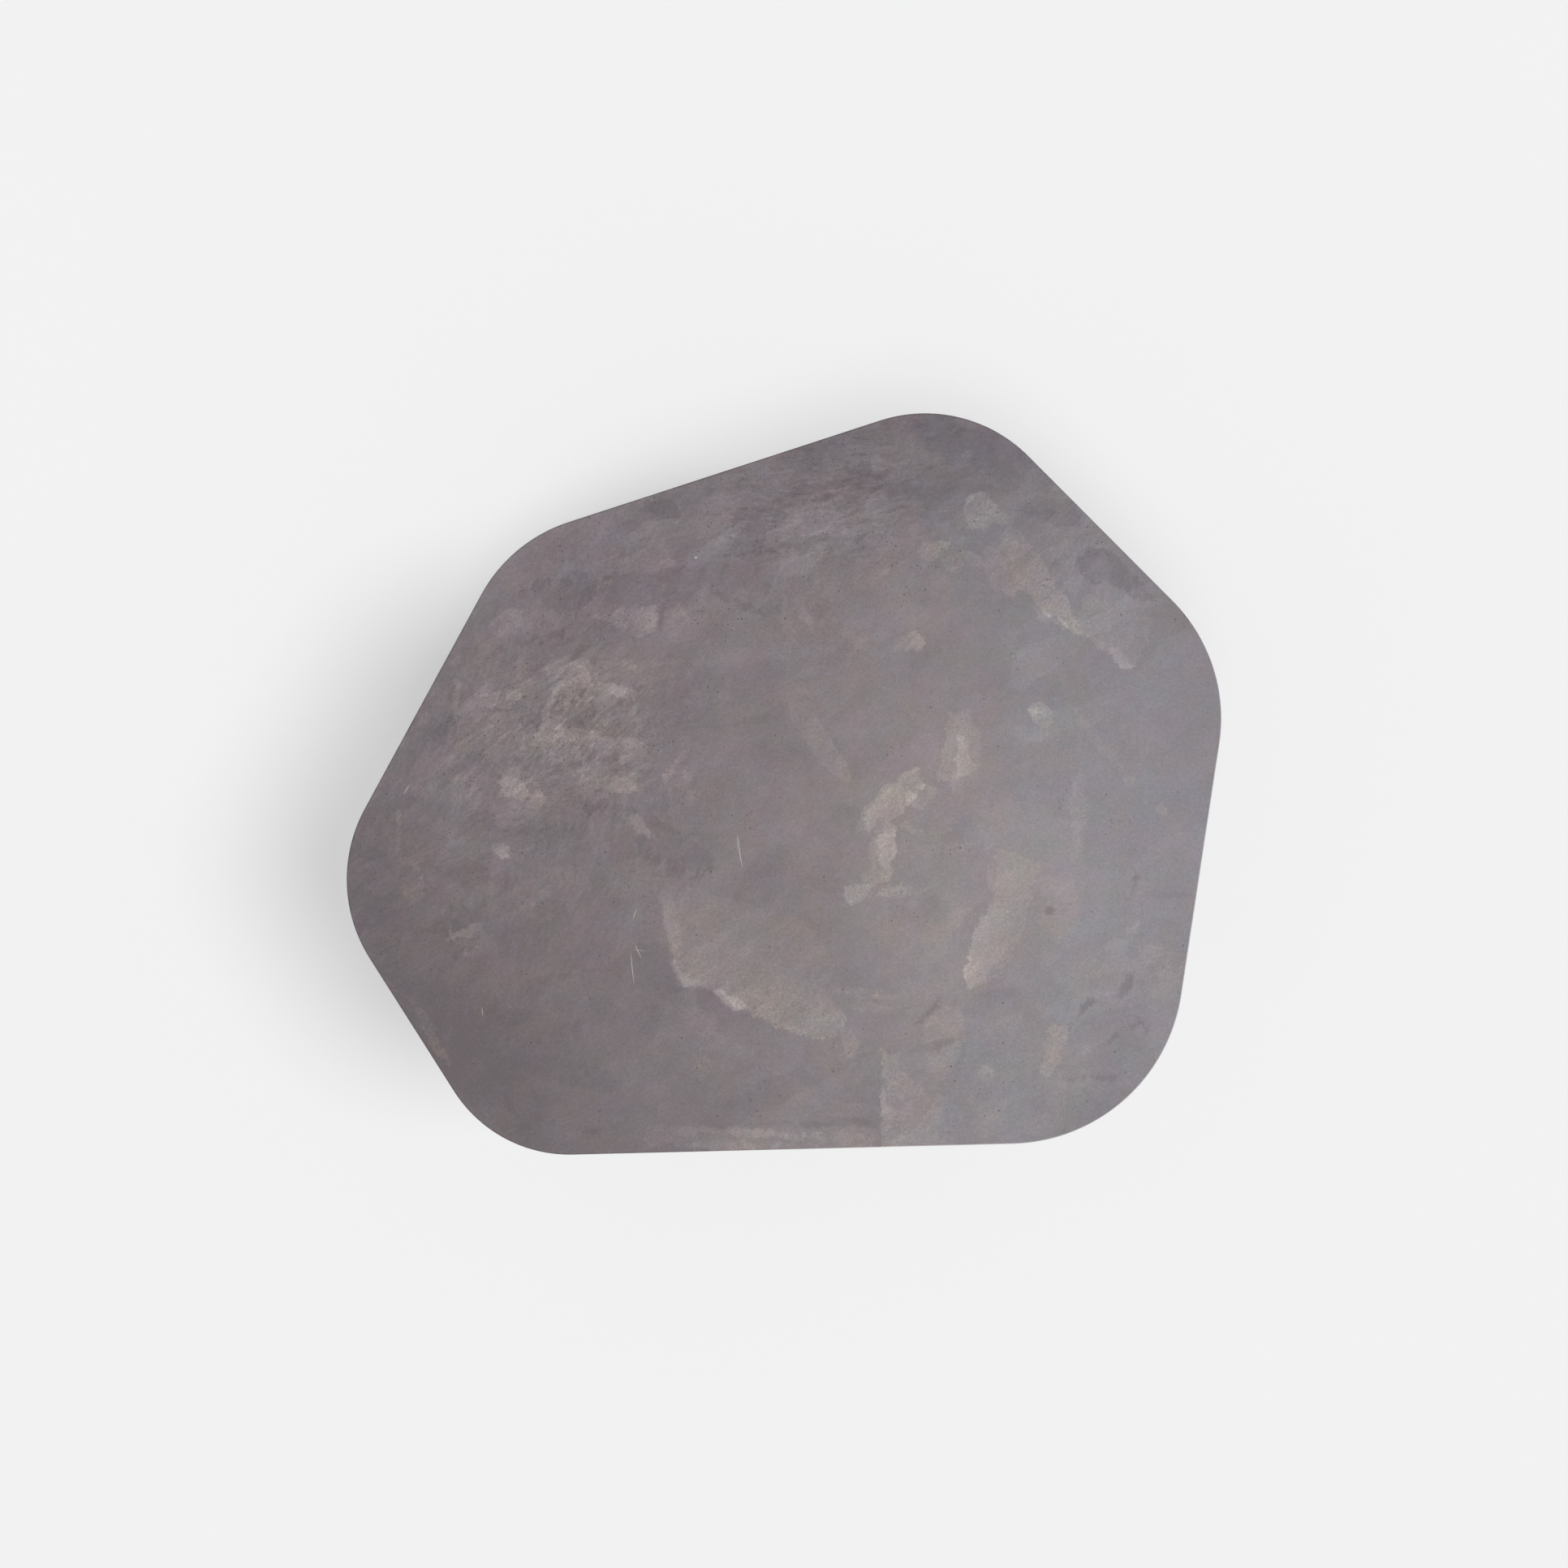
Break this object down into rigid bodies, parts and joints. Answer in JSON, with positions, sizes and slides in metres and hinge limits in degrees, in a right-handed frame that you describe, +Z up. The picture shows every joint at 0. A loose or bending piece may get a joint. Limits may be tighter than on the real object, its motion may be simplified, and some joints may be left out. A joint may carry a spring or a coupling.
{
  "type": "coffee table",
  "caption": "Low coffee table: flat rounded-hexagon top in mottled mauve-grey microcement, on stout round legs of the same finish with screw-adjusted levelling feet.",
  "frame": {"origin": "on the floor, under the middle of the tabletop's bounding box", "axes": "+Z up; +X along the top's longest extent, to the right in the picture; +Y towards the picture's upper edge"},
  "size_m": [0.9, 0.763, 0.4],
  "materials": {
    "microcement": "trowelled and sealed, satin, mottled mauve grey",
    "fibreboard": "raw cut fibreboard",
    "liner": "black laminate backing sheet, satin",
    "bent_plywood": "raw bent plywood",
    "plywood": "raw birch plywood",
    "black_steel": "black powder coat",
    "zinc": "bright zinc plated steel",
    "brass": "turned brass",
    "nylon": "moulded black nylon",
    "felt": "dense grey felt"
  },
  "bodies": {
    "table": {"top_coat": "microcement", "upper_core_sheet": "fibreboard", "lower_core_sheet": "fibreboard", "underside_liner": "liner", "leg_coat_1": "microcement", "leg_tube_1": "bent_plywood", "leg_top_plug_1": "plywood", "leg_bottom_plug_1": "plywood", "mounting_plate_1": "black_steel", "plate_screw_1_1": "zinc", "plate_screw_1_2": "zinc", "plate_screw_1_3": "zinc", "plate_screw_1_4": "zinc", "hanger_insert_1": "brass", "hanger_stud_1": "zinc", "foot_insert_1": "brass", "leg_coat_2": "microcement", "leg_tube_2": "bent_plywood", "leg_top_plug_2": "plywood", "leg_bottom_plug_2": "plywood", "mounting_plate_2": "black_steel", "plate_screw_2_1": "zinc", "plate_screw_2_2": "zinc", "plate_screw_2_3": "zinc", "plate_screw_2_4": "zinc", "hanger_insert_2": "brass", "hanger_stud_2": "zinc", "foot_insert_2": "brass", "leg_coat_3": "microcement", "leg_tube_3": "bent_plywood", "leg_top_plug_3": "plywood", "leg_bottom_plug_3": "plywood", "mounting_plate_3": "black_steel", "plate_screw_3_1": "zinc", "plate_screw_3_2": "zinc", "plate_screw_3_3": "zinc", "plate_screw_3_4": "zinc", "hanger_insert_3": "brass", "hanger_stud_3": "zinc", "foot_insert_3": "brass"},
    "foot_1": {"foot_felt_1": "felt", "foot_base_1": "nylon"},
    "stud_1": {"foot_stud_1": "zinc"},
    "foot_2": {"foot_felt_2": "felt", "foot_base_2": "nylon"},
    "stud_2": {"foot_stud_2": "zinc"},
    "foot_3": {"foot_felt_3": "felt", "foot_base_3": "nylon"},
    "stud_3": {"foot_stud_3": "zinc"}
  },
  "joints": [
    {"name": "foot_1_height", "type": "slide", "parent": "table", "child": "foot_1", "axis": [0, 0, -1], "range_m": [0, 0.009]},
    {"name": "foot_1_screw", "type": "hinge", "parent": "foot_1", "child": "stud_1", "pos_m": [-0.3351, -0.0994, 0.0114], "axis": [0, 0, -1], "range_deg": [0, 2160]},
    {"name": "foot_2_height", "type": "slide", "parent": "table", "child": "foot_2", "axis": [0, 0, -1], "range_m": [0, 0.009]},
    {"name": "foot_2_screw", "type": "hinge", "parent": "foot_2", "child": "stud_2", "pos_m": [0.274, -0.2392, 0.0114], "axis": [0, 0, -1], "range_deg": [0, 2160]},
    {"name": "foot_3_height", "type": "slide", "parent": "table", "child": "foot_3", "axis": [0, 0, -1], "range_m": [0, 0.009]},
    {"name": "foot_3_screw", "type": "hinge", "parent": "foot_3", "child": "stud_3", "pos_m": [0.1535, 0.2656, 0.0114], "axis": [0, 0, -1], "range_deg": [0, 2160]}
  ],
  "couplings": [
    {"joint": "foot_1_screw", "follows": "foot_1_height", "rad_per_m": 4188.8},
    {"joint": "foot_2_screw", "follows": "foot_2_height", "rad_per_m": 4188.8},
    {"joint": "foot_3_screw", "follows": "foot_3_height", "rad_per_m": 4188.8}
  ]
}
